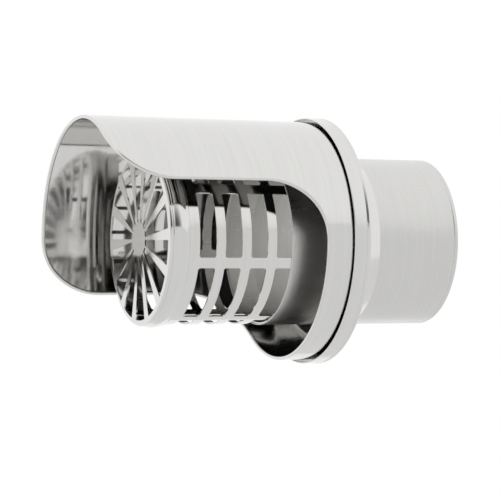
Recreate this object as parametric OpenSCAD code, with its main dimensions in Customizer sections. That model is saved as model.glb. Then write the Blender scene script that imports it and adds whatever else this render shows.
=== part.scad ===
// Horizontal flue terminal for a 100 mm duct: a cut-away rain hood over a slotted guard cage,
// on a spun back pan that lies against the wall. The duct axis is Y, with the wall at y = 0,
// the duct behind it at +Y and the open mouth of the hood at -Y. +Z is up.

/* [Duct tube] */
// Outer diameter of the tube, which is also the spigot that the duct slides on
tube_d = 100; // [80:1:130]
// Sheet thickness of the tube
tube_wall = 0.6; // [0.5:0.1:1]
// How far the spigot reaches behind the wall plane
spigot_len = 70; // [50:1:120]
// How far the tube reaches into the hood
stub_len = 38.4; // [30:0.2:45]
// Length of the thickened rim at the end of the spigot
rim_len = 2.2; // [1.6:0.1:3]
// Thickness of that rim
rim_wall = 1.8; // [1.2:0.1:2.4]

/* [Back pan] */
// Outer diameter of the pan's turned-up rim
pan_d = 146.8; // [145.6:0.2:150]
// Width of the rim that wraps round the hood
pan_rim_w = 10.2; // [6:0.2:16]
// Sheet thickness of the pan
pan_wall = 0.8; // [0.6:0.1:1.2]
// Length of the conical neck behind the pan
neck_len = 17.5; // [14:0.5:25]
// Half angle of the neck's cone in degrees
neck_slope = 28; // [15:1:35]
// Inner radius of the bend from the pan's flat into the neck
neck_bend = 5; // [4:0.5:8]
// Depth of the groove in the tube that the neck's edge is crimped into
crimp_depth = 0.2; // [0.15:0.05:0.25]
// Height of the lip that stands proud at the pan's back corner
lip_h = 0.2; // [0.1:0.1:0.6]
// Width of that lip
lip_w = 1.7; // [1:0.1:2.5]
// Depth of the groove rolled in front of the lip
lip_groove = 0.35; // [0.2:0.05:0.4]

/* [Hood] */
// Outer diameter of the hood
hood_d = 142; // [138:0.5:143]
// Distance from the wall plane to the front edge of the hood
hood_len = 150; // [142:0.5:170]
// Sheet thickness of the hood
hood_wall = 0.8; // [0.6:0.1:1.2]
// Distance from the wall plane to the lower cut edge
cut_back = 26; // [20:0.5:30]
// Radius of the front corners of the cut
front_corner_r = 34; // [24:1:38]
// Radius of the back corners of the cut
back_corner_r = 34; // [24:1:38]
// Diameter of the edge curled inwards all round the cut
curl_d = 2.3; // [1.8:0.1:3]

/* [Guard cage] */
// Sheet thickness of the cage
cage_wall = 0.8; // [0.6:0.1:1]
// How far the cage plugs into the tube
cage_plug = 18; // [12:1:25]
// Windows round the cage in each row
window_columns = 7; // [5:1:9]
// Rows of windows along the cage
window_rows = 4; // [2:1:4]
// Distance from the wall plane to the front edge of the first row
first_window = 95.2; // [94:0.1:97]
// Length of a window along the axis
window_len = 10.2; // [8:0.2:11]
// Distance from one row of windows to the next
window_pitch = 15.8; // [15:0.05:16]
// Width of the bars between the windows of a row
bar_w = 6.2; // [4:0.1:9]
// Corner radius of a window
window_r = 1.3; // [0.8:0.1:2]
// Turn of the bars about the axis, in degrees from straight up
bar_turn = 31; // [0:1:51]

/* [Front cap] */
// Distance from the wall plane to the face of the cap
cap_front = 113.5; // [112:0.1:114]
// Length of the skirt that fits over the cage
skirt_len = 12.2; // [9:0.2:16]
// Sheet thickness of the cap
cap_wall = 0.8; // [0.6:0.1:1]
// How far the skirt bulges at its middle
skirt_bulge = 0.7; // [0.3:0.1:0.9]
// Outer radius of the cap's front corner
cap_corner_r = 1.6; // [1.2:0.1:2.5]
// Spokes in the cap
spokes = 14; // [8:1:18]
// Width of a spoke where it leaves the hub
spoke_hub_w = 1.5; // [1:0.1:2.5]
// Width of a spoke where it meets the rim
spoke_rim_w = 6.6; // [4:0.1:8]
// Radius of the plain hub
hub_r = 10.2; // [7:0.2:14]
// Radius to the outer ends of the slots
slot_r = 46.8; // [44:0.2:47]
// Turn of the spokes about the axis, in degrees from straight up
spoke_turn = 12; // [0:1:25]

/* [Rivet] */
// Diameter of the rivet's domed head
rivet_head_d = 4.6; // [3.5:0.1:6]
// Height of the domed head
rivet_head_h = 1.1; // [0.8:0.1:1.6]
// Diameter of the rivet's shank
rivet_shank_d = 2.6; // [2:0.1:3.2]
// Bar of the cage that the rivet goes through, counted clockwise from the one at bar_turn
rivet_bar = 5; // [0:1:6]

/* [Hidden] */
$fn = 180;
satin = [0.76, 0.76, 0.75];
bright = [0.80, 0.80, 0.81];
past = 1;                            // how far cutters reach past what they cut

tube_r = tube_d / 2;
crimp_r = tube_r - crimp_depth;
crimp_land = 1.2;                    // last part of the neck, which lies in the groove
crimp_lean = 0.06;                   // how far that part leans in towards its edge
crimp_front = neck_len - crimp_land - crimp_depth / tan(neck_slope) - 0.2;
crimp_relief = 0.15;                 // how far the groove runs on behind the neck's edge
rim_line = 0.5;                      // width of the fine line in front of the spigot's rim
rim_line_depth = 0.25;

pan_r = pan_d / 2;
lip_r = lip_w / 2;
lip_groove_w = 0.7;
rolled = 0.4;                        // radius that takes the edge off the pan's rim

hood_r = hood_d / 2;
curl_r = curl_d / 2;
curl_proud = 0.1;                    // how far the curl stands out of the hood's outside
curl_track_r = hood_r - curl_r + curl_proud;
mouth_y = -hood_len + curl_r;        // the curl's centre line crosses the crown here,
side_z = curl_r;                     // runs along the two straight sides here
back_y = -cut_back + curl_r;         // and passes underneath here
front_arc_r = front_corner_r - curl_r;
back_arc_r = back_corner_r + curl_r;

cage_r = tube_r - tube_wall;
cage_front_y = -cap_front + cap_wall;
cage_back_y = -stub_len + cage_plug;
column_step = 360 / window_columns;
window_angle = column_step - 2 * asin(bar_w / 2 / cage_r);
window_w = 2 * cage_r * sin(window_angle / 2);

skirt_foot = 1.6;                    // straight ends of the skirt, which touch the cage
cap_line_y = -cap_front + 2;         // the fine line behind the cap's front corner
cap_line = 0.25;
rivet_y = -cap_front + cap_corner_r + (skirt_len - cap_corner_r) / 2;
rivet_angle = bar_turn + rivet_bar * column_step;
rivet_seat_r = cage_r + cap_wall + skirt_bulge;
tail_h = 0.8;

// Turns what was drawn about Z so that it lies about Y, with Z going to +Y.
module about_y() rotate([-90, 0, 0]) children();

// Spins a profile of [radius, y] points about the duct axis.
module spun(points) about_y() rotate_extrude() polygon(points);

// Turns what points straight up to an angle round the axis, clockwise seen from the front.
module turned(angle) rotate([0, angle, 0]) children();

function reversed(list) = [for (i = [len(list) - 1:-1:0]) list[i]];

// Points on an arc round [cx, cy].
function arc(cx, cy, r, from, to, steps) =
    [for (i = [0:steps]) let (a = from + (to - from) * i / steps) [cx + r * cos(a), cy + r * sin(a)]];

// How far the floor of the crimping groove, and the neck on it, stand out from the neck's edge.
function leaning(y) = crimp_lean * (neck_len - y) / crimp_land;

// One skin of the tube between its ends, with the crimping groove rolled into it.
function tube_skin(r) =
    [[r, -stub_len], [r, crimp_front - 0.3], [r - crimp_depth + leaning(crimp_front), crimp_front],
     [r - crimp_depth, neck_len], [r, neck_len + crimp_relief]];

module duct_tube() color(satin)
    spun(concat(
        tube_skin(tube_r),
        [[tube_r, spigot_len - rim_len - rim_line],
         [tube_r - rim_line_depth, spigot_len - rim_len - rim_line / 2],
         [tube_r, spigot_len - rim_len]],
        arc(tube_r - rim_wall / 2, spigot_len - rim_wall / 2, rim_wall / 2, 0, 180, 12),
        [[tube_r - tube_wall, spigot_len - rim_len]],
        reversed(tube_skin(tube_r - tube_wall))));

// One skin of the pan's neck: a bend out of the flat, then a cone that ends in a steeper edge.
function neck_skin(edge_r, flat_y, bend) =
    let (cone_y = neck_len - crimp_land,
         cone_r = edge_r + leaning(cone_y),
         bend_y = flat_y + bend,
         bend_r = cone_r + (cone_y - bend_y + bend * sin(neck_slope)) * tan(neck_slope)
                + bend * cos(neck_slope))
    concat(
        arc(bend_r, bend_y, bend, 270, 180 + neck_slope, 8),
        [[cone_r, cone_y], [edge_r, neck_len]]);

module back_pan() color(bright)
    spun(concat(
        [[pan_r - pan_wall, -pan_rim_w + rolled]],
        arc(pan_r - rolled, -pan_rim_w + rolled, rolled, 180, 360, 8),
        [[pan_r, -lip_w - lip_groove_w], [pan_r - lip_groove, -lip_w - lip_groove_w / 2]],
        arc(pan_r + lip_h - lip_r, -lip_r, lip_r, -50, 90, 10),
        neck_skin(crimp_r + pan_wall, 0, neck_bend),
        reversed(neck_skin(crimp_r, -pan_wall, neck_bend + pan_wall)),
        [[pan_r - pan_wall, -pan_wall]]));

// Side view of the hood's sheet, as far as the centre line of its curled edge.
module hood_side() {
    difference() {
        translate([mouth_y, side_z]) square([back_y - mouth_y + past, hood_d]);
        difference() {
            translate([mouth_y - past, side_z - past]) square(front_arc_r + past);
            translate([mouth_y + front_arc_r, side_z + front_arc_r]) circle(front_arc_r);
        }
    }
    difference() {
        translate([back_y - back_arc_r, side_z - back_arc_r]) square(back_arc_r + past / 2);
        translate([back_y - back_arc_r, side_z - back_arc_r]) circle(back_arc_r);
    }
    translate([back_y, -hood_d]) square([-pan_wall - back_y, 2 * hood_d]);
}

// The curl's centre line down one side, from the crown at the mouth to the lowest point underneath.
function on_track(y, z) = [sqrt(curl_track_r ^ 2 - z ^ 2), y, z];
function round_track(angle, y) = [curl_track_r * sin(angle), y, curl_track_r * cos(angle)];
function curl_side() =
    let (front_y = mouth_y + front_arc_r, front_z = side_z + front_arc_r,
         rear_y = back_y - back_arc_r, rear_z = side_z - back_arc_r,
         front_angle = acos(front_z / curl_track_r), rear_angle = acos(rear_z / curl_track_r))
    concat(
        [for (i = [0:13]) round_track(front_angle * i / 14, mouth_y)],
        [for (p = arc(front_y, front_z, front_arc_r, 180, 270, 12)) on_track(p[0], p[1])],
        [for (p = arc(rear_y, rear_z, back_arc_r, 90, 0, 12)) on_track(p[0], p[1])],
        [for (i = [1:14]) round_track(rear_angle + (180 - rear_angle) * i / 14, back_y)]);
function other_side(list) = [for (i = [len(list) - 2:-1:1]) [-list[i][0], list[i][1], list[i][2]]];

// A round bead along a closed track. Each ring of points stands square to the track.
module bead(track, r, sides) {
    n = len(track);
    rings = [for (i = [0:n - 1])
        let (along = track[(i + 1) % n] - track[(i + n - 1) % n],
             out = [track[i][0], 0, track[i][2]],
             across = cross(along, out) / norm(cross(along, out)),
             up = cross(across, along) / norm(cross(across, along)))
        [for (k = [0:sides - 1]) let (a = 360 * k / sides)
            track[i] + r * (cos(a) * up + sin(a) * across)]];
    faces = [for (i = [0:n - 1], k = [0:sides - 1])
        let (j = (i + 1) % n, m = (k + 1) % sides)
        [i * sides + k, j * sides + k, j * sides + m, i * sides + m]];
    polyhedron([for (ring = rings) for (p = ring) p], faces, convexity = 10);
}

module hood_shell() color(bright) {
    intersection() {
        about_y() difference() {
            translate([0, 0, -hood_len]) cylinder(h = hood_len, r = hood_r);
            translate([0, 0, -hood_len - past]) cylinder(h = hood_len + 2 * past, r = hood_r - hood_wall);
        }
        rotate([90, 0, 90]) linear_extrude(2 * hood_d, center = true) hood_side();
    }
    bead(concat(curl_side(), other_side(curl_side())), curl_r, 10);
}

// A cutter for one window, standing over the top of the cage and centred on the window's length.
module window() translate([0, 0, cage_r * cos(window_angle / 2) - 2 * cage_wall - past])
    linear_extrude(cage_r) {
        square([window_w - 2 * window_r, window_len], center = true);
        square([window_w, window_len - 2 * window_r], center = true);
        for (x = [-1, 1], y = [-1, 1])
            translate([x * (window_w / 2 - window_r), y * (window_len / 2 - window_r)])
                circle(window_r, $fn = 32);
    }

module rivet_hole() turned(rivet_angle) translate([0, rivet_y, cage_r - cage_wall - past])
    cylinder(h = rivet_seat_r - cage_r + cage_wall + 2 * past, r = rivet_shank_d / 2, $fn = 32);

module guard_cage() color(bright) difference() {
    about_y() difference() {
        translate([0, 0, cage_front_y]) cylinder(h = cage_back_y - cage_front_y, r = cage_r);
        translate([0, 0, cage_front_y - past])
            cylinder(h = cage_back_y - cage_front_y + 2 * past, r = cage_r - cage_wall);
    }
    for (column = [0:window_columns - 1], row = [0:window_rows - 1])
        turned(bar_turn + (column + 0.5) * column_step)
            translate([0, -first_window + window_len / 2 + row * window_pitch, 0]) window();
    rivet_hole();
}

// The slots are what is left of a ring between the tapered spokes.
module slots() difference() {
    circle(slot_r);
    circle(hub_r);
    for (i = [0:spokes - 1]) rotate(-spoke_turn - i * 360 / spokes)
        polygon([[-spoke_hub_w / 2, hub_r - past], [spoke_hub_w / 2, hub_r - past],
                 [spoke_rim_w / 2, slot_r + past], [-spoke_rim_w / 2, slot_r + past]]);
}

// One skin of the cap's skirt, from the front corner back to the open end.
function skirt_skin(r) =
    let (start = -cap_front + cap_corner_r + skirt_foot, run = skirt_len - cap_corner_r - 2 * skirt_foot)
    concat(
        [for (i = [0:9]) [r + skirt_bulge * sin(20 * i), start + run * i / 9]],
        [[r, -cap_front + skirt_len]]);

module front_cap() color(bright) difference() {
    spun(concat(
        [[0, -cap_front]],
        arc(cage_r + cap_wall - cap_corner_r, -cap_front + cap_corner_r, cap_corner_r, -90, 0, 6),
        [[cage_r + cap_wall, cap_line_y], [cage_r + cap_wall - cap_line, cap_line_y + 0.3],
         [cage_r + cap_wall, cap_line_y + 0.6]],
        skirt_skin(cage_r + cap_wall),
        reversed(skirt_skin(cage_r)),
        [[cage_r, cage_front_y], [0, cage_front_y]]));
    translate([0, cage_front_y + past, 0]) rotate([90, 0, 0])
        linear_extrude(cap_wall + 2 * past) slots();
    rivet_hole();
}

// A domed head on the skirt, a shank through both sheets and an upset tail inside the cage.
module cap_rivet() color(bright) turned(rivet_angle) translate([0, rivet_y, 0]) {
    dome_r = (rivet_head_d ^ 2 / 4 + rivet_head_h ^ 2) / (2 * rivet_head_h);
    intersection() {
        translate([0, 0, rivet_seat_r + rivet_head_h - dome_r]) sphere(dome_r, $fn = 48);
        translate([0, 0, rivet_seat_r]) cylinder(h = rivet_head_h + past, r = rivet_head_d, $fn = 48);
    }
    translate([0, 0, cage_r - cage_wall])
        cylinder(h = rivet_seat_r - cage_r + cage_wall, r = rivet_shank_d / 2, $fn = 32);
    translate([0, 0, cage_r - cage_wall - tail_h])
        cylinder(h = tail_h, r = rivet_shank_d / 2 + 0.5, $fn = 32);
}

duct_tube();
back_pan();
hood_shell();
guard_cage();
front_cap();
cap_rivet();
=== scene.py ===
"""A stainless flue terminal: rain hood, slotted guard cage with a spoked cap, duct tube and back pan.

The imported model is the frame. Every piece is rebuilt on it as a smooth sheet of steel, because
polished steel shows each facet. Lengths are metres and the duct axis is Y, with the wall at y = 0.
"""
import bisect
import bmesh
import bpy
import math
from mathutils import Matrix, Vector
from mathutils.geometry import delaunay_2d_cdt


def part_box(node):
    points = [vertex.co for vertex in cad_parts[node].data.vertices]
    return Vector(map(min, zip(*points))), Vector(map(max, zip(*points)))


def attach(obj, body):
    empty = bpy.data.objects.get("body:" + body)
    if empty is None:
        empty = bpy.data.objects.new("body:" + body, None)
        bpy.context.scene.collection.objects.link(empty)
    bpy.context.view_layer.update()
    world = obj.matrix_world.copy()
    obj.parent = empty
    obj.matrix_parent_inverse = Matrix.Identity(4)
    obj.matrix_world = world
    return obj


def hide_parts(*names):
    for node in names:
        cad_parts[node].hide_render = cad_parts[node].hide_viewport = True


bl_info = {
    "name": "Flue Terminal",
    "version": (1, 0, 0),
    "blender": (4, 5, 0),
    "location": "3D View > Sidebar > Flue Terminal",
    "description": "Builds a stainless flue terminal round its packed model",
    "category": "Add Mesh",
}

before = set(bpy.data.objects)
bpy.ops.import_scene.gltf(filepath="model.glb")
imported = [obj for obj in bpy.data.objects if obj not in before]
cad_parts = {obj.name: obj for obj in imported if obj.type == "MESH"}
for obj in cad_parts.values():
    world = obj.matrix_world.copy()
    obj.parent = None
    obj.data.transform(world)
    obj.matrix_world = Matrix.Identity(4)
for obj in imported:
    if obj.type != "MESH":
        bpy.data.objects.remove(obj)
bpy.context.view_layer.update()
MM = 0.001


def places_from_frame():
    """Radii and places along the axis that the pieces share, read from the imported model."""
    tube_low, tube_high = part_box("duct_tube")
    pan_low, pan_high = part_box("back_pan")
    hood_low, hood_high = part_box("hood_shell")
    cage_low, cage_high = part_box("guard_cage")
    cap_low, cap_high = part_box("front_cap")
    rivet_low, rivet_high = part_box("cap_rivet")
    rivet = (rivet_low + rivet_high) / 2
    return {
        "tube_r": tube_high.z, "stub_y": tube_low.y, "spigot_y": tube_high.y,
        "pan_r": pan_high.z, "pan_y": pan_low.y, "neck_y": pan_high.y,
        "hood_r": hood_high.z, "mouth_y": hood_low.y, "hood_back_y": hood_high.y,
        "cage_r": cage_high.z, "cage_front_y": cage_low.y, "cage_back_y": cage_high.y,
        "cap_r": cap_high.z, "cap_y": cap_low.y, "skirt_y": cap_high.y,
        "rivet_y": rivet.y, "rivet_angle": math.atan2(rivet.x, rivet.z),
    }


PLACES = places_from_frame()


class TerminalSizes(bpy.types.PropertyGroup):
    """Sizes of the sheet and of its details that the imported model's boxes don't give."""

    turns: bpy.props.IntProperty(
        name="Steps round", description="Steps round a spun piece", default=252, min=56)
    sheet: bpy.props.FloatProperty(
        name="Sheet", description="Thickness of the hood, pan, cage and cap", default=0.8 * MM,
        unit="LENGTH")
    tube_sheet: bpy.props.FloatProperty(
        name="Tube sheet", description="Thickness of the duct tube", default=0.6 * MM, unit="LENGTH")
    rim_line: bpy.props.FloatProperty(
        name="Rim line", description="Width of the fine line in front of the spigot's rim",
        default=0.6 * MM, unit="LENGTH")
    rim_length: bpy.props.FloatProperty(
        name="Rim length", description="Length of the thickened rim at the spigot's end",
        default=2.2 * MM, unit="LENGTH")
    neck_slope: bpy.props.FloatProperty(
        name="Neck slope", description="Half angle of the pan's conical neck",
        default=math.radians(28), subtype="ANGLE")
    neck_bend: bpy.props.FloatProperty(
        name="Neck bend", description="Radius of the bend from the pan's flat into its neck",
        default=5 * MM, unit="LENGTH")
    lip_width: bpy.props.FloatProperty(
        name="Lip width", description="Width of the lip at the pan's back corner",
        default=1.7 * MM, unit="LENGTH")
    lip_groove: bpy.props.FloatProperty(
        name="Lip groove", description="Depth of the groove in front of the pan's lip",
        default=0.35 * MM, unit="LENGTH")
    curl_radius: bpy.props.FloatProperty(
        name="Curl radius", description="Radius of the hood's curled edge", default=1.15 * MM,
        unit="LENGTH")
    cut_back: bpy.props.FloatProperty(
        name="Cut back", description="Distance from the wall to the hood's lower edge",
        default=26 * MM, unit="LENGTH")
    corner: bpy.props.FloatProperty(
        name="Corner", description="Radius of the hood's cut corners", default=34 * MM,
        unit="LENGTH")
    columns: bpy.props.IntProperty(
        name="Columns", description="Windows round the cage in each row", default=7, min=3)
    rows: bpy.props.IntProperty(
        name="Rows", description="Rows of windows along the cage", default=4, min=1)
    first_window: bpy.props.FloatProperty(
        name="First window", description="Distance from the wall to the front of the first row",
        default=95.2 * MM, unit="LENGTH")
    window_length: bpy.props.FloatProperty(
        name="Window length", description="Length of a window along the axis",
        default=10.2 * MM, unit="LENGTH")
    window_pitch: bpy.props.FloatProperty(
        name="Window pitch", description="Distance between rows of windows",
        default=15.8 * MM, unit="LENGTH")
    window_corner: bpy.props.FloatProperty(
        name="Window corner", description="Corner radius of a window", default=1.3 * MM,
        unit="LENGTH")
    bar_width: bpy.props.FloatProperty(
        name="Bar width", description="Width of the bars between windows", default=6.2 * MM,
        unit="LENGTH")
    bar_turn: bpy.props.FloatProperty(
        name="Bar turn", description="Turn of the cage's bars from straight up",
        default=math.radians(31), subtype="ANGLE")
    spokes: bpy.props.IntProperty(
        name="Spokes", description="Spokes in the cap", default=14, min=4)
    spoke_turn: bpy.props.FloatProperty(
        name="Spoke turn", description="Turn of the cap's spokes from straight up",
        default=math.radians(12), subtype="ANGLE")
    hub_radius: bpy.props.FloatProperty(
        name="Hub radius", description="Radius of the cap's plain hub", default=10.2 * MM,
        unit="LENGTH")
    slot_radius: bpy.props.FloatProperty(
        name="Slot radius", description="Radius to the slots' outer ends", default=46.8 * MM,
        unit="LENGTH")
    spoke_hub_width: bpy.props.FloatProperty(
        name="Spoke width at hub", description="Width of a spoke at the hub", default=1.5 * MM,
        unit="LENGTH")
    spoke_rim_width: bpy.props.FloatProperty(
        name="Spoke width at rim", description="Width of a spoke at the rim", default=6.6 * MM,
        unit="LENGTH")
    cap_corner: bpy.props.FloatProperty(
        name="Cap corner", description="Radius of the cap's front corner", default=1.6 * MM,
        unit="LENGTH")
    rivet_radius: bpy.props.FloatProperty(
        name="Rivet radius", description="Radius of the rivet's head", default=2.3 * MM,
        unit="LENGTH")
    rivet_height: bpy.props.FloatProperty(
        name="Rivet height", description="Height of the rivet's head", default=1.1 * MM,
        unit="LENGTH")


class TerminalFinish(bpy.types.PropertyGroup):
    """Colours and gloss of the steel."""

    polished: bpy.props.FloatVectorProperty(
        name="Polished steel", description="Colour of the polished sheet", subtype="COLOR",
        default=(0.74, 0.735, 0.72), min=0, max=1)
    satin: bpy.props.FloatVectorProperty(
        name="Satin steel", description="Colour of the duct tube", subtype="COLOR",
        default=(0.70, 0.695, 0.68), min=0, max=1)
    hood_gloss: bpy.props.FloatProperty(
        name="Hood roughness", description="Roughness of the hood", default=0.10, subtype="FACTOR")
    cage_gloss: bpy.props.FloatProperty(
        name="Cage roughness", description="Roughness of the cage and the cap", default=0.06,
        subtype="FACTOR")
    tube_gloss: bpy.props.FloatProperty(
        name="Tube roughness", description="Roughness of the duct tube", default=0.3,
        subtype="FACTOR")


class StudioSettings(bpy.types.PropertyGroup):
    """Light, floor and camera."""

    tent: bpy.props.FloatProperty(
        name="Tent brightness", description="Brightness of the white surround", default=1.0)
    dark_side: bpy.props.FloatProperty(
        name="Dark side", description="Brightness of the room behind the camera", default=0.06)
    floor_drop: bpy.props.FloatProperty(
        name="Floor drop", description="Distance from the axis down to the floor", default=0.65,
        unit="LENGTH")
    floor_colour: bpy.props.FloatVectorProperty(
        name="Floor colour", description="Colour of the floor", subtype="COLOR",
        default=(0.82, 0.82, 0.82), min=0, max=1)
    lens: bpy.props.FloatProperty(
        name="Lens", description="Focal length of the camera in millimetres", default=144)
    azimuth: bpy.props.FloatProperty(
        name="Azimuth", description="Camera's angle round the picture's vertical",
        default=math.radians(66.32), subtype="ANGLE")
    part_turn: bpy.props.FloatProperty(
        name="Part turn", description="Turn of the terminal about its axis in the picture",
        default=math.radians(28.5), subtype="ANGLE")
    roll: bpy.props.FloatProperty(
        name="Roll", description="Camera roll", default=math.radians(0.33), subtype="ANGLE")
    distance: bpy.props.FloatProperty(
        name="Distance", description="Distance from the camera to what it aims at",
        default=1185.9 * MM, unit="LENGTH")
    aim: bpy.props.FloatVectorProperty(
        name="Aim", description="Point that the camera aims at", subtype="TRANSLATION",
        default=(-2.69 * MM, -43.13 * MM, -4.95 * MM))


SIZES = "terminal_sizes"
FINISH = "terminal_finish"
STUDIO = "terminal_studio"
GROUPS = ((SIZES, TerminalSizes), (FINISH, TerminalFinish), (STUDIO, StudioSettings))


def settings(name):
    return getattr(bpy.context.scene, name)


# Outlines

def arc(centre, radius, start, end, steps):
    """Points on an arc, angles in degrees."""
    points = []
    for i in range(steps + 1):
        a = math.radians(start + (end - start) * i / steps)
        points.append((centre[0] + radius * math.cos(a), centre[1] + radius * math.sin(a)))
    return points


def rounded(points, radius, steps=4):
    """A closed outline with each sharp corner replaced by a small curve."""
    out = []
    count = len(points)
    for i, point in enumerate(points):
        here = Vector(point)
        before, after = Vector(points[i - 1]) - here, Vector(points[(i + 1) % count]) - here
        if before.angle(after) > math.radians(150):
            out.append(tuple(here))
            continue
        start = here + before.normalized() * min(radius, before.length / 2)
        end = here + after.normalized() * min(radius, after.length / 2)
        for k in range(steps + 1):
            t = k / steps
            out.append(tuple(start * (1 - t) ** 2 + here * 2 * t * (1 - t) + end * t ** 2))
    return out


def inside(point, outline):
    """Whether a point lies inside a closed outline."""
    x, y = point
    hit = False
    for i, (x1, y1) in enumerate(outline):
        x0, y0 = outline[i - 1]
        if (y0 > y) != (y1 > y) and x < x0 + (y - y0) * (x1 - x0) / (y1 - y0):
            hit = not hit
    return hit


def cut_pattern(outline, holes, rulings):
    """Triangles of a flat pattern with holes. Rulings are lines that edges have to follow."""
    verts, edges = [], []
    for ring in [outline, *holes]:
        first = len(verts)
        verts.extend(Vector(p) for p in ring)
        edges.extend((first + i, first + (i + 1) % len(ring)) for i in range(len(ring)))
    for start, end in rulings:
        edges.append((len(verts), len(verts) + 1))
        verts.extend((Vector(start), Vector(end)))
    points, _, faces, *_ = delaunay_2d_cdt(verts, edges, [], 0, 1e-7)
    kept = []
    for face in faces:
        middle = sum((points[i] for i in face), Vector((0, 0))) / len(face)
        if inside(middle, outline) and not any(inside(middle, hole) for hole in holes):
            kept.append(tuple(face))
    return points, kept


# Meshes

def new_piece(name, verts, faces, edges=()):
    mesh = bpy.data.meshes.new(name)
    mesh.from_pydata([tuple(v) for v in verts], list(edges), [tuple(f) for f in faces])
    mesh.validate()
    piece = bpy.data.objects.new(name, mesh)
    bpy.context.scene.collection.objects.link(piece)
    return piece


def sheet_from_pattern(name, points, faces, place, thickness, is_seam):
    """A sheet bent from a flat pattern. place gives a pattern point at a depth under the face, and
    the edges for which is_seam holds stay open, because the next copy joins on there."""
    size = len(points)
    verts = [place(p, 0.0) for p in points] + [place(p, thickness) for p in points]
    tris = list(faces) + [tuple(size + i for i in reversed(face)) for face in faces]
    used = set()
    for face in faces:
        for i, a in enumerate(face):
            used.add((face[i - 1], a))
    for a, b in used:
        if (b, a) not in used and not is_seam(points[a], points[b]):
            tris.append((b, a, size + a, size + b))
    return new_piece(name, verts, tris)


def face_outwards(mesh):
    """Turns the faces of closed shells outwards, after their doubles are merged."""
    work = bmesh.new()
    work.from_mesh(mesh)
    bmesh.ops.remove_doubles(work, verts=work.verts, dist=1e-7)
    bmesh.ops.recalc_face_normals(work, faces=work.faces)
    work.to_mesh(mesh)
    work.free()


def round_normals(mesh):
    """Exact normals on sheet that is bent round the duct axis, so that reflections run smoothly."""
    mesh.shade_smooth()
    mesh.set_sharp_from_angle(angle=math.radians(35))
    corners = [Vector(n.vector) for n in mesh.corner_normals]
    for face in mesh.polygons:
        middle = Vector((face.center.x, 0, face.center.z)).normalized()
        lean = face.normal.dot(middle)
        if abs(lean) < 0.985:
            continue
        for loop in face.loop_indices:
            at = mesh.vertices[mesh.loops[loop].vertex_index].co
            corners[loop] = Vector((at.x, 0, at.z)).normalized() * (1 if lean > 0 else -1)
    mesh.normals_split_custom_set([tuple(n) for n in corners])


# Geometry node trees

def geometry_tree(name, inputs):
    """An empty tree with a geometry in and out, and named inputs for its sizes."""
    tree = bpy.data.node_groups.new(name, "GeometryNodeTree")
    tree.is_modifier = True
    tree.interface.new_socket("Geometry", in_out="INPUT", socket_type="NodeSocketGeometry")
    for label, kind, default in inputs:
        socket = tree.interface.new_socket(label, in_out="INPUT", socket_type=kind)
        if default is not None:
            socket.default_value = default
    tree.interface.new_socket("Geometry", in_out="OUTPUT", socket_type="NodeSocketGeometry")
    return tree, tree.nodes.new("NodeGroupInput"), tree.nodes.new("NodeGroupOutput")


def joined(tree, *links):
    """Links pairs of sockets."""
    for start, end in links:
        tree.links.new(start, end)


def math_node(tree, operation, a, b=None):
    node = tree.nodes.new("ShaderNodeMath")
    node.operation = operation
    for socket, value in zip(node.inputs, (a, b)):
        if isinstance(value, (int, float)):
            socket.default_value = value
        elif value is not None:
            tree.links.new(value, socket)
    return node.outputs[0]


def finish_tree(tree, geometry, material, out, merge=True):
    """Realizes instances, merges seams, shades smooth and sets the material."""
    realize = tree.nodes.new("GeometryNodeRealizeInstances")
    smooth = tree.nodes.new("GeometryNodeSetShadeSmooth")
    paint = tree.nodes.new("GeometryNodeSetMaterial")
    joined(tree, (geometry, realize.inputs[0]))
    last = realize.outputs[0]
    if merge:
        weld = tree.nodes.new("GeometryNodeMergeByDistance")
        weld.inputs["Distance"].default_value = 0.0004 * MM
        joined(tree, (last, weld.inputs[0]))
        last = weld.outputs[0]
    joined(tree, (last, smooth.inputs[0]), (smooth.outputs[0], paint.inputs[0]),
           (material, paint.inputs["Material"]), (paint.outputs[0], out.inputs[0]))


def spun_tree():
    """Spins a profile of points, in the plane x = 0, into a sheet about the duct axis."""
    tree, start, out = geometry_tree("Spun Sheet", (
        ("Steps", "NodeSocketInt", 252), ("Closed", "NodeSocketInt", 1),
        ("Material", "NodeSocketMaterial", None)))
    size = tree.nodes.new("GeometryNodeAttributeDomainSize")
    grid = tree.nodes.new("GeometryNodeMeshGrid")
    index = tree.nodes.new("GeometryNodeInputIndex").outputs[0]
    profile = tree.nodes.new("GeometryNodeSampleIndex")
    profile.data_type = "FLOAT_VECTOR"
    turn = tree.nodes.new("ShaderNodeVectorRotate")
    turn.rotation_type = "Y_AXIS"
    place = tree.nodes.new("GeometryNodeSetPosition")
    position = tree.nodes.new("GeometryNodeInputPosition").outputs[0]
    points = size.outputs["Point Count"]
    across = math_node(tree, "ADD", points, start.outputs["Closed"])
    row = math_node(tree, "FLOOR", math_node(tree, "DIVIDE", math_node(tree, "ADD", index, 0.5), across))
    column = math_node(tree, "SUBTRACT", index, math_node(tree, "MULTIPLY", row, across))
    angle = math_node(tree, "DIVIDE", math_node(tree, "MULTIPLY", row, math.tau), start.outputs["Steps"])
    joined(tree, (start.outputs[0], size.inputs[0]),
           (math_node(tree, "ADD", start.outputs["Steps"], 1), grid.inputs["Vertices X"]),
           (across, grid.inputs["Vertices Y"]), (start.outputs[0], profile.inputs[0]),
           (position, profile.inputs[1]), (math_node(tree, "MODULO", column, points), profile.inputs["Index"]),
           (profile.outputs[0], turn.inputs["Vector"]), (angle, turn.inputs["Angle"]),
           (grid.outputs["Mesh"], place.inputs[0]), (turn.outputs[0], place.inputs["Position"]))
    finish_tree(tree, place.outputs[0], start.outputs["Material"], out)
    return tree


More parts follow.
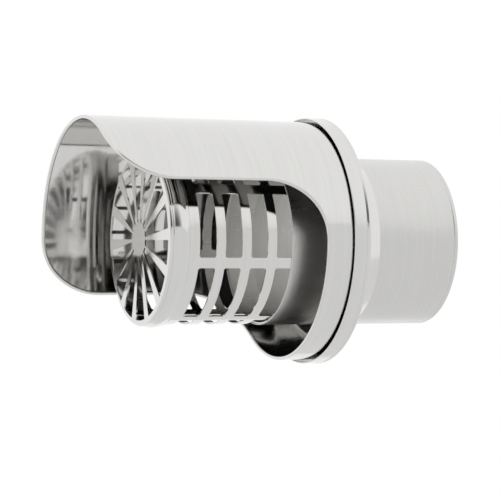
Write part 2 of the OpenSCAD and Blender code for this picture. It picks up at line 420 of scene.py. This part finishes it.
def round_tree():
    """Repeats a mesh about the duct axis."""
    tree, start, out = geometry_tree("Repeat Round", (
        ("Count", "NodeSocketInt", 7), ("Step", "NodeSocketFloat", 1.0),
        ("Turn", "NodeSocketFloat", 0.0), ("Material", "NodeSocketMaterial", None)))
    line = tree.nodes.new("GeometryNodeMeshLine")
    line.inputs["Offset"].default_value = (0, 0, 0)
    copies = tree.nodes.new("GeometryNodeInstanceOnPoints")
    angles = tree.nodes.new("ShaderNodeCombineXYZ")
    index = tree.nodes.new("GeometryNodeInputIndex").outputs[0]
    angle = math_node(tree, "ADD", math_node(tree, "MULTIPLY", index, start.outputs["Step"]),
                      start.outputs["Turn"])
    joined(tree, (start.outputs["Count"], line.inputs["Count"]), (line.outputs[0], copies.inputs["Points"]),
           (start.outputs[0], copies.inputs["Instance"]), (angle, angles.inputs["Y"]),
           (angles.outputs[0], copies.inputs["Rotation"]))
    finish_tree(tree, copies.outputs[0], start.outputs["Material"], out)
    return tree


def curl_tree():
    """Rolls a bead along a closed path of edges."""
    tree, start, out = geometry_tree("Curled Edge", (
        ("Radius", "NodeSocketFloat", 0.001), ("Sides", "NodeSocketInt", 16),
        ("Material", "NodeSocketMaterial", None)))
    path = tree.nodes.new("GeometryNodeMeshToCurve")
    ring = tree.nodes.new("GeometryNodeCurvePrimitiveCircle")
    bead = tree.nodes.new("GeometryNodeCurveToMesh")
    joined(tree, (start.outputs[0], path.inputs[0]), (path.outputs[0], bead.inputs["Curve"]),
           (start.outputs["Sides"], ring.inputs["Resolution"]), (start.outputs["Radius"], ring.inputs["Radius"]),
           (ring.outputs[0], bead.inputs["Profile Curve"]))
    finish_tree(tree, bead.outputs[0], start.outputs["Material"], out, merge=False)
    return tree


def tree_named(name, maker):
    return bpy.data.node_groups.get(name) or maker()


def grown(piece, tree, **values):
    """Runs a tree on a piece and keeps the result as its plain mesh."""
    modifier = piece.modifiers.new(tree.name, "NODES")
    modifier.node_group = tree
    for item in tree.interface.items_tree:
        if item.in_out == "INPUT" and item.name in values:
            modifier[item.identifier] = values[item.name]
    graph = bpy.context.evaluated_depsgraph_get()
    mesh = bpy.data.meshes.new_from_object(piece.evaluated_get(graph), preserve_all_data_layers=True,
                                           depsgraph=graph)
    piece.modifiers.remove(modifier)
    old = piece.data
    piece.data = mesh
    bpy.data.meshes.remove(old)
    mesh.name = piece.name
    return piece


def spun(name, profile, material, closed=True):
    """A piece spun from a profile of (radius, y) points."""
    count = len(profile)
    edges = [(i, (i + 1) % count) for i in range(count if closed else count - 1)]
    piece = new_piece(name, [(0, y, r) for r, y in profile], [], edges)
    grown(piece, tree_named("Spun Sheet", spun_tree), Steps=settings(SIZES).turns,
          Closed=int(closed), Material=material)
    return piece


def area_normals(piece):
    """Normals that keep the long flats of a spun sheet flat and its small bends round."""
    piece.data.set_sharp_from_angle(angle=math.radians(35))
    modifier = piece.modifiers.new("Even", "WEIGHTED_NORMAL")
    modifier.mode = "FACE_AREA"
    modifier.weight = 100
    modifier.keep_sharp = True
    graph = bpy.context.evaluated_depsgraph_get()
    mesh = bpy.data.meshes.new_from_object(piece.evaluated_get(graph), preserve_all_data_layers=True,
                                           depsgraph=graph)
    piece.modifiers.remove(modifier)
    piece.data = mesh


def hand_over(piece, node, replaces=True):
    """Gives a finished piece its body, in place of its node."""
    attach(piece, "root")
    if replaces:
        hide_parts(node)


# Materials

def shader_group(name, inputs, outputs):
    group = bpy.data.node_groups.new(name, "ShaderNodeTree")
    for label, kind, default in inputs:
        group.interface.new_socket(label, in_out="INPUT", socket_type=kind).default_value = default
    for label, kind in outputs:
        group.interface.new_socket(label, in_out="OUTPUT", socket_type=kind)
    return group, group.nodes.new("NodeGroupInput"), group.nodes.new("NodeGroupOutput")


def noise(tree, vector, scale, detail, stretch=(1, 1, 1)):
    """Noise on a stretched copy of the coordinates."""
    mapping = tree.nodes.new("ShaderNodeMapping")
    mapping.inputs["Scale"].default_value = stretch
    texture = tree.nodes.new("ShaderNodeTexNoise")
    texture.inputs["Scale"].default_value = scale
    texture.inputs["Detail"].default_value = detail
    tree.links.new(vector, mapping.inputs["Vector"])
    tree.links.new(mapping.outputs[0], texture.inputs["Vector"])
    return texture.outputs["Fac"]


def spun_lines_group():
    """Fine lines round the axis, as a spinning or polishing wheel leaves them."""
    group, start, out = shader_group(
        "Spun Lines", (("Vector", "NodeSocketVector", (0, 0, 0)), ("Fineness", "NodeSocketFloat", 1.0)),
        (("Lines", "NodeSocketFloat"), ("Bands", "NodeSocketFloat")))
    split = group.nodes.new("ShaderNodeSeparateXYZ")
    group.links.new(start.outputs["Vector"], split.inputs[0])
    x, y, z = split.outputs
    radius = math_node(group, "SQRT", math_node(
        group, "ADD", math_node(group, "MULTIPLY", x, x), math_node(group, "MULTIPLY", z, z)))
    angle = math_node(group, "ARCTAN2", x, z)
    around = group.nodes.new("ShaderNodeCombineXYZ")
    group.links.new(math_node(group, "MULTIPLY", radius, start.outputs["Fineness"]), around.inputs[0])
    group.links.new(math_node(group, "MULTIPLY", y, start.outputs["Fineness"]), around.inputs[1])
    group.links.new(math_node(group, "MULTIPLY", angle, 0.004), around.inputs[2])
    lines = noise(group, around.outputs[0], 3200, 3)
    bands = noise(group, around.outputs[0], 420, 2, (1, 1, 0.6))
    group.links.new(lines, out.inputs["Lines"])
    group.links.new(bands, out.inputs["Bands"])
    return group


def wear_group():
    """Slow waves of the sheet, faint smudges and small hairline marks."""
    group, start, out = shader_group(
        "Sheet Wear", (("Vector", "NodeSocketVector", (0, 0, 0)),),
        (("Waves", "NodeSocketFloat"), ("Smudges", "NodeSocketFloat"), ("Marks", "NodeSocketFloat")))
    vector = start.outputs["Vector"]
    group.links.new(noise(group, vector, 28, 1), out.inputs["Waves"])
    group.links.new(noise(group, vector, 60, 4, (1, 0.6, 1)), out.inputs["Smudges"])
    group.links.new(noise(group, vector, 900, 2, (1, 0.08, 1)), out.inputs["Marks"])
    return group


def ranged(tree, value, low, high):
    """Moves a mask from 0.3..0.7, where noise mostly lies, to low..high."""
    node = tree.nodes.new("ShaderNodeMapRange")
    node.inputs["From Min"].default_value = 0.3
    node.inputs["From Max"].default_value = 0.7
    node.inputs["To Min"].default_value = low
    node.inputs["To Max"].default_value = high
    tree.links.new(value, node.inputs["Value"])
    return node.outputs[0]


def bump(tree, height, distance, under=None, strength=1.0):
    node = tree.nodes.new("ShaderNodeBump")
    node.inputs["Distance"].default_value = distance
    node.inputs["Strength"].default_value = strength
    tree.links.new(height, node.inputs["Height"])
    if under is not None:
        tree.links.new(under, node.inputs["Normal"])
    return node.outputs[0]


def steel(name, colour, roughness, lines=0.0, fineness=1.0, waves=0.0, spread=0.04, tint=0.04):
    """Stainless steel. lines and waves are the heights of its spun lines and of its slow waves."""
    material = bpy.data.materials.get(name)
    if material:
        return material
    material = bpy.data.materials.new(name)
    material.use_nodes = True
    tree = material.node_tree
    shader = tree.nodes["Principled BSDF"]
    shader.inputs["Metallic"].default_value = 1.0
    coordinates = tree.nodes.new("ShaderNodeTexCoord").outputs["Object"]
    spin = tree.nodes.new("ShaderNodeGroup")
    spin.node_tree = bpy.data.node_groups.get("Spun Lines") or spun_lines_group()
    spin.inputs["Fineness"].default_value = fineness
    wear = tree.nodes.new("ShaderNodeGroup")
    wear.node_tree = bpy.data.node_groups.get("Sheet Wear") or wear_group()
    for node in (spin, wear):
        tree.links.new(coordinates, node.inputs["Vector"])
    base = tree.nodes.new("ShaderNodeMix")
    base.data_type = "RGBA"
    base.inputs[6].default_value = (*(c * (1 - tint) for c in colour), 1)
    base.inputs[7].default_value = (*colour, 1)
    tree.links.new(ranged(tree, spin.outputs["Bands"], 0, 1), base.inputs[0])
    tree.links.new(base.outputs[2], shader.inputs["Base Color"])
    rough = math_node(tree, "ADD", ranged(tree, wear.outputs["Smudges"], roughness - spread, roughness + spread),
                      ranged(tree, wear.outputs["Marks"], -spread / 3, spread / 3))
    tree.links.new(rough, shader.inputs["Roughness"])
    normal = None
    if waves:
        normal = bump(tree, wear.outputs["Waves"], waves)
    if lines:
        normal = bump(tree, spin.outputs["Lines"], lines, normal)
    if normal is not None:
        tree.links.new(normal, shader.inputs["Normal"])
    return material


def hood_steel():
    finish = settings(FINISH)
    return steel("Hood Steel", finish.polished, finish.hood_gloss, waves=0.02 * MM)


def pan_steel():
    finish = settings(FINISH)
    return steel("Pan Steel", finish.polished, finish.hood_gloss + 0.04, lines=0.004 * MM)


def tube_steel():
    finish = settings(FINISH)
    return steel("Tube Steel", finish.satin, finish.tube_gloss, lines=0.002 * MM, waves=0.02 * MM)


def cage_steel():
    finish = settings(FINISH)
    return steel("Cage Steel", finish.polished, finish.cage_gloss, waves=0.01 * MM, spread=0.02)


def cap_steel():
    finish = settings(FINISH)
    return steel("Cap Steel", finish.polished, finish.cage_gloss + 0.03, lines=0.006 * MM, fineness=0.6,
                 spread=0.02)


def rivet_steel():
    finish = settings(FINISH)
    return steel("Rivet Steel", finish.polished, finish.cage_gloss + 0.1)


# Pieces

class TERMINAL_OT_tube(bpy.types.Operator):
    """Spin the duct tube, with its stub inside the hood and its rimmed spigot"""

    bl_idname = "terminal.tube"
    bl_label = "Duct Tube"

    def execute(self, context):
        sizes = settings(SIZES)
        outer, inner = PLACES["tube_r"], PLACES["tube_r"] - sizes.tube_sheet
        front, end = PLACES["stub_y"], PLACES["spigot_y"]
        edge = sizes.tube_sheet / 2
        rim = 0.9 * MM
        line = end - sizes.rim_length
        profile = arc((outer - edge, front + edge), edge, 180, 360, 6)
        profile += [(outer, line - sizes.rim_line), (outer - 0.25 * MM, line - sizes.rim_line / 2), (outer, line)]
        profile += arc((outer - rim, end - rim), rim, 0, 180, 14)
        profile += [(inner, line)]
        hand_over(self.finished(profile), "duct_tube")
        return {"FINISHED"}

    def finished(self, profile):
        piece = spun("duct_tube_sheet", profile, tube_steel())
        area_normals(piece)
        return piece


def neck_skin(edge_r, flat_y, bend, cone_y, slope):
    """One skin of the pan's neck: a bend out of the flat, then a cone up to its edge."""
    bend_y = flat_y + bend
    bend_r = edge_r + (cone_y - bend_y + bend * math.sin(slope)) * math.tan(slope) + bend * math.cos(slope)
    return arc((bend_r, bend_y), bend, 270, 180 + math.degrees(slope), 14) + [(edge_r, cone_y)]


class TERMINAL_OT_pan(bpy.types.Operator):
    """Spin the back pan, with its rolled rim, lip, flat and neck"""

    bl_idname = "terminal.pan"
    bl_label = "Back Pan"

    def execute(self, context):
        sizes = settings(SIZES)
        sheet, lip, groove = sizes.sheet, sizes.lip_width / 2, sizes.lip_groove
        proud = 0.2 * MM
        outer = PLACES["pan_r"] - proud
        front, neck = PLACES["pan_y"], PLACES["neck_y"]
        groove_width = 0.7 * MM
        bend = sizes.neck_bend
        grip_r = PLACES["tube_r"]
        inner_neck = neck_skin(grip_r, -sheet, bend + sheet, neck, sizes.neck_slope)
        outer_neck = neck_skin(grip_r + sheet * 0.8, 0, bend, neck, sizes.neck_slope)
        profile = arc((outer - sheet / 2, front + sheet / 2), sheet / 2, 180, 360, 8)
        profile += [(outer, -2 * lip - groove_width), (outer - groove, -2 * lip - groove_width / 2)]
        profile += arc((outer + proud - lip, -lip), lip, -50, 90, 14)
        profile += outer_neck + inner_neck[::-1]
        profile += [(outer - sheet, -sheet)]
        piece = spun("back_pan_sheet", profile, pan_steel())
        area_normals(piece)
        hand_over(piece, "back_pan")
        return {"FINISHED"}


def hood_places():
    """The curl's centre line seen from the side: where it runs and how its corners turn."""
    sizes = settings(SIZES)
    curl = sizes.curl_radius
    place = {
        "curl": curl, "track": PLACES["hood_r"] - curl, "front": PLACES["mouth_y"] + curl,
        "side": curl, "back": -sizes.cut_back + curl, "front_arc": sizes.corner - curl,
        "back_arc": sizes.corner + curl}
    place["front_centre"] = (place["front"] + place["front_arc"], place["side"] + place["front_arc"])
    place["back_centre"] = (place["back"] - place["back_arc"], place["side"] - place["back_arc"])
    return place


def hood_edge(radius):
    """The cut edge down one side as (angle, y) points, on a cylinder of this radius."""
    place = hood_places()
    crown = math.acos(place["front_centre"][1] / radius)
    under = math.acos(place["back_centre"][1] / radius)
    front = [(crown * i / 60, place["front"]) for i in range(60)]
    down = [(math.acos(z / radius), y) for y, z in arc(place["front_centre"], place["front_arc"], 180, 270, 40)]
    back = [(math.acos(z / radius), y) for y, z in arc(place["back_centre"], place["back_arc"], 90, 0, 40)]
    low = [(under + (math.pi - under) * i / 60, place["back"]) for i in range(1, 61)]
    return front, down, back, low


def on_cylinder(radius, angle, y):
    return (radius * math.sin(angle), y, radius * math.cos(angle))


def hood_sheet(name, radius, thickness):
    """The hood's sheet, cut along the curl's centre line."""
    front, down, back, low = hood_edge(radius)
    half = front + down + back + low
    outline = half + [(math.pi, PLACES["hood_back_y"]), (-math.pi, PLACES["hood_back_y"])]
    outline += [(-angle, y) for angle, y in reversed(half[1:])]
    steps = settings(SIZES).turns
    rulings = [((math.tau * (i / steps - 0.5), PLACES["mouth_y"]), (math.tau * (i / steps - 0.5), 0.0))
               for i in range(1, steps)]
    points, faces = cut_pattern(outline, [], rulings)
    seam = math.pi - 1e-5
    piece = sheet_from_pattern(
        name, points, faces, lambda p, depth: on_cylinder(radius - depth, p[0], p[1]), thickness,
        lambda a, b: min(abs(a[0]), abs(b[0])) > seam)
    face_outwards(piece.data)
    return piece


class TERMINAL_OT_hood(bpy.types.Operator):
    """Bend the rain hood's sheet and curl its cut edge inwards"""

    bl_idname = "terminal.hood"
    bl_label = "Rain Hood"

    def execute(self, context):
        material = hood_steel()
        sheet = hood_sheet("hood_sheet", PLACES["hood_r"], settings(SIZES).sheet)
        sheet.data.materials.append(material)
        round_normals(sheet.data)
        hand_over(sheet, "hood_shell")
        place = hood_places()
        half = [p for stretch in hood_edge(place["track"]) for p in stretch]
        track = [on_cylinder(place["track"], *p) for p in half + [(-a, y) for a, y in reversed(half[1:-1])]]
        count = len(track)
        curl = new_piece("hood_curl", track, [], [(i, (i + 1) % count) for i in range(count)])
        grown(curl, tree_named("Curled Edge", curl_tree), Radius=place["curl"], Sides=20, Material=material)
        hand_over(curl, "hood_shell", replaces=False)
        return {"FINISHED"}


def window_outline(middle_angle, middle_y, angle, length, corner, radius):
    """A rounded window as (angle, y) points."""
    points = []
    turn = corner / radius
    for side, end, start in ((1, -1, -90), (1, 1, 0), (-1, 1, 90), (-1, -1, 180)):
        for x, y in arc((0, 0), 1, start, start + 90, 6):
            points.append((middle_angle + side * (angle / 2 - turn) + x * turn,
                           middle_y + end * (length / 2 - corner) + y * corner))
    return points


class TERMINAL_OT_cage(bpy.types.Operator):
    """Punch and roll the guard cage, one column of windows at a time"""

    bl_idname = "terminal.cage"
    bl_label = "Guard Cage"

    def execute(self, context):
        sizes = settings(SIZES)
        radius, step = PLACES["cage_r"], math.tau / sizes.columns
        front, back = PLACES["cage_front_y"], PLACES["cage_back_y"]
        angle = step - 2 * math.asin(sizes.bar_width / 2 / radius)
        holes = [window_outline(step / 2, -sizes.first_window + sizes.window_length / 2 + row * sizes.window_pitch,
                                angle, sizes.window_length, sizes.window_corner, radius)
                 for row in range(sizes.rows)]
        outline = [(0, front), (step, front), (step, back), (0, back)]
        lines = 36
        rulings = [((step * i / lines, front), (step * i / lines, back)) for i in range(1, lines)]
        points, faces = cut_pattern(outline, holes, rulings)
        strip = sheet_from_pattern(
            "guard_cage_sheet", points, faces, lambda p, depth: on_cylinder(radius - depth, p[0], p[1]),
            sizes.sheet, lambda a, b: abs(a[0] - b[0]) < 1e-6 and (abs(a[0]) < 1e-5 or abs(a[0] - step) < 1e-5))
        grown(strip, tree_named("Repeat Round", round_tree), Count=sizes.columns, Step=step,
              Turn=sizes.bar_turn, Material=cage_steel())
        face_outwards(strip.data)
        round_normals(strip.data)
        hand_over(strip, "guard_cage")
        return {"FINISHED"}


def slot_outline(step):
    """The slot between two spokes, as (x, z) points round the middle of the slot."""
    sizes = settings(SIZES)

    def side(radius, width):
        return step / 2 - math.asin(width / 2 / radius)

    def width_at(radius):
        t = (radius - sizes.hub_radius) / (sizes.slot_radius - sizes.hub_radius)
        return sizes.spoke_hub_width + (sizes.spoke_rim_width - sizes.spoke_hub_width) * t

    def stretch(radius, sign, count):
        reach = side(radius, width_at(radius)) * sign
        return [(radius * math.sin(reach * (1 - 2 * i / count)), radius * math.cos(reach * (1 - 2 * i / count)))
                for i in range(count + 1)]
    return rounded(stretch(sizes.slot_radius, 1, 8) + stretch(sizes.hub_radius, -1, 4), 0.45 * MM)


class TERMINAL_OT_cap(bpy.types.Operator):
    """Punch the cap's spoked disc, one slot at a time, and spin its skirt"""

    bl_idname = "terminal.cap"
    bl_label = "Front Cap"

    def execute(self, context):
        sizes = settings(SIZES)
        sheet, corner = sizes.sheet, sizes.cap_corner
        front, back, seat = PLACES["cap_y"], PLACES["skirt_y"], PLACES["cage_r"]
        step = math.tau / sizes.spokes
        edge = seat + sheet - corner
        pieces = sizes.turns // sizes.spokes
        rim = [(edge * math.sin(step * (i / pieces - 0.5)), edge * math.cos(step * (i / pieces - 0.5)))
               for i in range(pieces + 1)]
        points, faces = cut_pattern([(0, 0)] + rim, [slot_outline(step)], [])
        disc = sheet_from_pattern(
            "cap_disc", points, faces, lambda p, depth: (p[0], front + depth, p[1]), sheet, self.on_seam)
        material = cap_steel()
        grown(disc, tree_named("Repeat Round", round_tree), Count=sizes.spokes, Step=step,
              Turn=sizes.spoke_turn + step / 2, Material=material)
        skirt = spun("front_cap_sheet", self.skirt(seat, front, back, corner, sheet, edge), material, closed=False)
        spin = Matrix.Rotation(sizes.spoke_turn, 4, "Y")
        skirt.data.transform(spin)
        join(skirt, disc)
        face_outwards(skirt.data)
        area_normals(skirt)
        hand_over(skirt, "front_cap")
        return {"FINISHED"}

    @staticmethod
    def on_seam(a, b):
        """Whether an edge lies on a spoke's centre line or on the disc's outer circle."""
        cross = a[0] * b[1] - a[1] * b[0]
        return abs(cross) < 1e-9 or (a.length > 48 * MM and b.length > 48 * MM)

    @staticmethod
    def skirt(seat, front, back, corner, sheet, edge):
        """The skirt's profile, from the disc's face round to the disc's back."""
        outer = seat + sheet
        foot, line, bulge = 1.6 * MM, 0.25 * MM, PLACES["cap_r"] - outer
        start = front + corner + foot
        run = back - foot - start
        swell = [(bulge * math.sin(math.pi * i / 24), start + run * i / 24) for i in range(25)]
        profile = arc((outer - corner, front + corner), corner, -90, 0, 8)
        profile += [(outer, front + 2.0 * MM), (outer - line, front + 2.3 * MM), (outer, front + 2.6 * MM)]
        profile += [(outer + out, y) for out, y in swell]
        profile += arc((outer - sheet / 2, back - sheet / 2), sheet / 2, 0, 180, 8)
        profile += [(seat + out, y) for out, y in reversed(swell)]
        profile += [(seat, front + sheet), (edge, front + sheet)]
        return profile


def join(piece, other):
    """Adds another piece's mesh to this one."""
    work = bmesh.new()
    work.from_mesh(piece.data)
    work.from_mesh(other.data)
    work.to_mesh(piece.data)
    work.free()
    bpy.data.objects.remove(other)


class TERMINAL_OT_rivet(bpy.types.Operator):
    """Set the domed rivet through the cap's skirt"""

    bl_idname = "terminal.rivet"
    bl_label = "Cap Rivet"

    def execute(self, context):
        sizes = settings(SIZES)
        radius, height = sizes.rivet_radius, sizes.rivet_height
        seat, y = PLACES["cap_r"], PLACES["rivet_y"]
        dome = (radius ** 2 + height ** 2) / (2 * height)
        reach = math.asin(radius / dome)
        shank, tail = 1.3 * MM, 1.8 * MM
        low = PLACES["cage_r"] - sizes.sheet
        profile = [(dome * math.sin(reach * i / 10), seat + height - dome * (1 - math.cos(reach * i / 10)))
                   for i in range(11)]
        profile += [(shank, seat), (shank, low), (tail, low), (tail, low - 0.8 * MM), (0, low - 0.8 * MM)]
        steps = 32
        verts, faces = [], []
        for i in range(steps):
            a = math.tau * i / steps
            verts += [(r * math.cos(a), y + r * math.sin(a), z) for r, z in profile]
        count = len(profile)
        for i in range(steps):
            for k in range(count - 1):
                a, b = i * count + k, (i + 1) % steps * count + k
                faces.append((a, b, b + 1, a + 1))
        head = new_piece("cap_rivet_head", verts, faces)
        grown(head, tree_named("Repeat Round", round_tree), Count=1, Step=0.0, Turn=PLACES["rivet_angle"],
              Material=rivet_steel())
        face_outwards(head.data)
        area_normals(head)
        hand_over(head, "cap_rivet")
        return {"FINISHED"}


# Stage

def picture_axes():
    """Right, up and back of the camera, in the row frame."""
    studio = settings(STUDIO)
    cos, sin = math.cos(studio.azimuth), math.sin(studio.azimuth)
    turn = Matrix.Rotation(studio.part_turn, 3, "Y")
    right, up, back = turn @ Vector((cos, sin, 0)), turn @ Vector((0, 0, 1)), turn @ Vector((sin, -cos, 0))
    roll = studio.roll
    return right * math.cos(roll) + up * math.sin(roll), up * math.cos(roll) - right * math.sin(roll), back


class TERMINAL_OT_stage(bpy.types.Operator):
    """Set up the floor, the white surround and the camera"""

    bl_idname = "terminal.stage"
    bl_label = "Stage"

    def execute(self, context):
        self.camera()
        self.floor()
        self.surround()
        return {"FINISHED"}

    def camera(self):
        bpy.context.scene.view_settings.view_transform = "Standard"
        studio = settings(STUDIO)
        right, up, back = picture_axes()
        data = bpy.data.cameras.new("camera")
        data.lens = studio.lens
        data.sensor_width = 36
        data.clip_end = 50
        camera = bpy.data.objects.new("camera", data)
        bpy.context.scene.collection.objects.link(camera)
        turn = Matrix((right, up, back)).transposed().to_4x4()
        camera.matrix_world = Matrix.Translation(Vector(studio.aim) + back * studio.distance) @ turn
        bpy.context.scene.camera = camera

    def floor(self):
        studio = settings(STUDIO)
        reach, z = 3.0, -studio.floor_drop
        floor = new_piece("floor", [(-reach, -reach, z), (reach, -reach, z), (reach, reach, z), (-reach, reach, z)],
                          [(0, 1, 2, 3)])
        material = bpy.data.materials.new("Floor")
        material.use_nodes = True
        shader = material.node_tree.nodes["Principled BSDF"]
        shader.inputs["Base Color"].default_value = (*studio.floor_colour, 1)
        shader.inputs["Roughness"].default_value = 0.8
        floor.data.materials.append(material)

    def surround(self):
        studio = settings(STUDIO)
        _, _, back = picture_axes()
        world = bpy.data.worlds.new("Studio")
        bpy.context.scene.world = world
        world.use_nodes = True
        tree = world.node_tree
        background = tree.nodes["Background"]
        path = tree.nodes.new("ShaderNodeLightPath")
        direction = tree.nodes.new("ShaderNodeNewGeometry").outputs["Incoming"]
        dot = tree.nodes.new("ShaderNodeVectorMath")
        dot.operation = "DOT_PRODUCT"
        dot.inputs[1].default_value = -back
        tree.links.new(direction, dot.inputs[0])
        shade = tree.nodes.new("ShaderNodeMapRange")
        shade.interpolation_type = "SMOOTHSTEP"
        shade.inputs["From Min"].default_value = 0.55
        shade.inputs["From Max"].default_value = 0.95
        shade.inputs["To Min"].default_value = studio.tent
        shade.inputs["To Max"].default_value = studio.dark_side
        tree.links.new(dot.outputs["Value"], shade.inputs["Value"])
        white = math_node(tree, "MAXIMUM", shade.outputs[0], path.outputs["Is Camera Ray"])
        tree.links.new(white, background.inputs["Strength"])
        background.inputs["Color"].default_value = (1, 1, 1, 1)


class TERMINAL_PT_panel(bpy.types.Panel):
    """The terminal's pieces, in the order in which they are made"""

    bl_idname = "TERMINAL_PT_panel"
    bl_label = "Flue Terminal"
    bl_space_type = "VIEW_3D"
    bl_region_type = "UI"
    bl_category = "Flue Terminal"

    def draw(self, context):
        for operator in OPERATORS:
            self.layout.operator(operator.bl_idname)
        for name, group in GROUPS:
            values = getattr(context.scene, name)
            for label in group.__annotations__:
                self.layout.prop(values, label)


OPERATORS = (TERMINAL_OT_stage, TERMINAL_OT_tube, TERMINAL_OT_pan, TERMINAL_OT_hood, TERMINAL_OT_cage,
             TERMINAL_OT_cap, TERMINAL_OT_rivet)
CLASSES = tuple(group for _, group in GROUPS) + OPERATORS + (TERMINAL_PT_panel,)


def register():
    for item in CLASSES:
        bpy.utils.register_class(item)
    for name, group in GROUPS:
        setattr(bpy.types.Scene, name, bpy.props.PointerProperty(type=group))


def unregister():
    for name, _ in GROUPS:
        delattr(bpy.types.Scene, name)
    for item in reversed(CLASSES):
        bpy.utils.unregister_class(item)


def main():
    register()
    bpy.ops.terminal.stage()
    bpy.ops.terminal.tube()
    bpy.ops.terminal.pan()
    bpy.ops.terminal.hood()
    bpy.ops.terminal.cage()
    bpy.ops.terminal.cap()
    bpy.ops.terminal.rivet()


if __name__ == "__main__":
    main()
